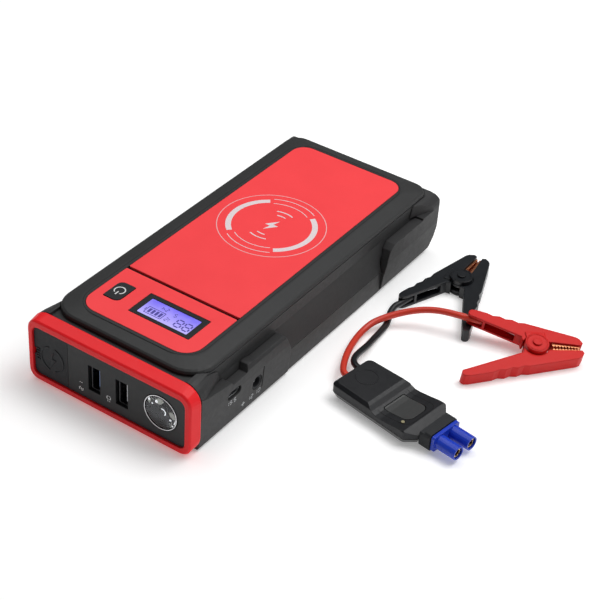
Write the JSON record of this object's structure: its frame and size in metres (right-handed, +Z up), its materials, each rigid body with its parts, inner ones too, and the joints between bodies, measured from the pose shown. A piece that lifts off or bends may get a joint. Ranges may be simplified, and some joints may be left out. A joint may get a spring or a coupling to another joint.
{
  "type": "jump starter power pack",
  "caption": "Flat armoured battery pack with lamp, USB and side ports, screen and charging pad, with its relay box, plug, cables and two spring clamps lying beside it.",
  "frame": {"origin": "centre of the pack's flat base", "axes": "+Z up through the deck, -Y out of the port end, +X out of the side with the charging ports"},
  "size_m": [0.208, 0.2169, 0.0404],
  "materials": {
    "case_black": "fine matte texture",
    "red_trim": "satin",
    "red_jacket": "smooth silicone",
    "black_rubber": "matte",
    "blue_connector": "semi-gloss",
    "white_plastic": "satin",
    "port_steel": "plain",
    "lamp_chrome": "polished",
    "lamp_glass": "clear",
    "display_window": "lit screen behind a clear window",
    "circuit_board": "plain",
    "cell_wrap": "film",
    "copper": "plain copper",
    "gold_contact": "gold plated"
  },
  "bodies": {
    "pack": {"upper_case": "case_black", "lower_case": "case_black", "front_bumper_left": "case_black", "front_bumper_right": "case_black", "rear_bumper_left": "case_black", "rear_bumper_right": "case_black", "front_bezel": "red_trim", "control_panel": "red_trim", "charging_pad": "red_trim", "port_plate": "case_black", "jump_socket": "blue_connector", "usb_shell_1": "port_steel", "usb_shell_2": "port_steel", "usb_tongue_1": "white_plastic", "usb_tongue_2": "blue_connector", "lamp_reflector": "lamp_chrome", "lamp_lens": "lamp_glass", "lamp_led": "white_plastic", "charge_port_shell": "port_steel", "charge_port_tongue": "black_rubber", "dc_jack": "black_rubber", "dc_pin": "port_steel", "button_switch": "white_plastic", "display_frame": "black_rubber", "display_glass": "display_window", "display_module": "white_plastic", "main_board": "circuit_board", "battery_cell_left": "cell_wrap", "battery_cell_right": "cell_wrap", "wireless_coil": "copper", "case_screw_1": "port_steel", "case_screw_2": "port_steel", "case_screw_3": "port_steel", "case_screw_4": "port_steel", "grip_pad_front": "black_rubber", "grip_pad_rear": "black_rubber"},
    "power_button": {"power_button": "black_rubber"},
    "socket_cover": {"socket_cover": "black_rubber"},
    "clamp_lead": {"relay_base": "case_black", "relay_top": "case_black", "status_led": "white_plastic", "plug_collar": "black_rubber", "plug_housing": "blue_connector", "plug_contact_positive": "gold_contact", "plug_contact_negative": "gold_contact", "red_cable": "red_jacket", "black_cable": "black_rubber", "red_clamp_fixed": "red_trim", "red_teeth_fixed": "copper", "red_pivot_pin": "port_steel", "red_spring": "port_steel", "black_clamp_fixed": "case_black", "black_teeth_fixed": "copper", "black_pivot_pin": "port_steel", "black_spring": "port_steel"},
    "boost_button": {"boost_button": "case_black"},
    "red_jaw": {"red_clamp_moving": "red_trim", "red_teeth_moving": "copper"},
    "black_jaw": {"black_clamp_moving": "case_black", "black_teeth_moving": "copper"}
  },
  "joints": [
    {"name": "power_button_press", "type": "slide", "parent": "pack", "child": "power_button", "axis": [0, 0, -1], "range_m": [0, 0.0008], "stiffness_N_per_m": 1000},
    {"name": "socket_cover_hinge", "type": "hinge", "parent": "pack", "child": "socket_cover", "pos_m": [-0.0242, -0.1075, 0.017], "axis": [0, 0, 1], "range_deg": [0, 110]},
    {"name": "clamp_lead_lift", "type": "slide", "parent": "pack", "child": "clamp_lead", "axis": [0, 0, 1], "range_m": [0, 0.06]},
    {"name": "boost_button_press", "type": "slide", "parent": "clamp_lead", "child": "boost_button", "axis": [0, 0, -1], "range_m": [0, 0.0006], "stiffness_N_per_m": 1000},
    {"name": "red_jaw_hinge", "type": "hinge", "parent": "clamp_lead", "child": "red_jaw", "pos_m": [0.13701, 0.05618, 0.00632], "axis": [-0.1538, 0.1186, -0.981], "range_deg": [0, 28], "stiffness_Nm_per_rad": 0.2, "springref_deg": -28.65},
    {"name": "black_jaw_hinge", "type": "hinge", "parent": "clamp_lead", "child": "black_jaw", "pos_m": [0.0787, 0.0837, 0.0041], "axis": [0, 0, -1], "range_deg": [0, 28], "stiffness_Nm_per_rad": 0.2, "springref_deg": -28.65}
  ]
}
